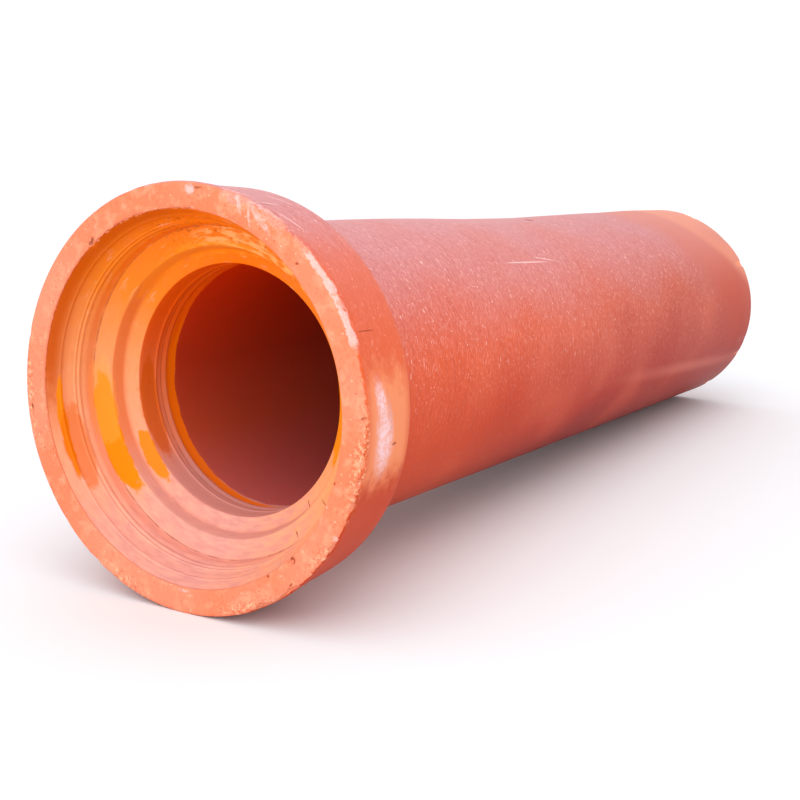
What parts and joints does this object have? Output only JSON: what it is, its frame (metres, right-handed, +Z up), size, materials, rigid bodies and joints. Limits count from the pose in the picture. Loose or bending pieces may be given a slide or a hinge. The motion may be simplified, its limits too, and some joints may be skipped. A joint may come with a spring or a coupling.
{
  "type": "clay drain pipe",
  "caption": "Fired clay drain pipe with a flared, stepped socket collar at one end, a thick glazed barrel and a plain unglazed spigot at the other.",
  "frame": {"origin": "bottom centre of the pipe's box as it lies on a level floor", "axes": "+X from the socket end to the spigot end, level; +Z up"},
  "size_m": [1.5146, 0.4888, 0.4889],
  "materials": {
    "fired_clay": "orange-red fired clay, satin salt glaze on the barrel and bore, bare clay in the socket"
  },
  "bodies": {
    "root": {"clay_pipe": "fired_clay"}
  },
  "joints": []
}
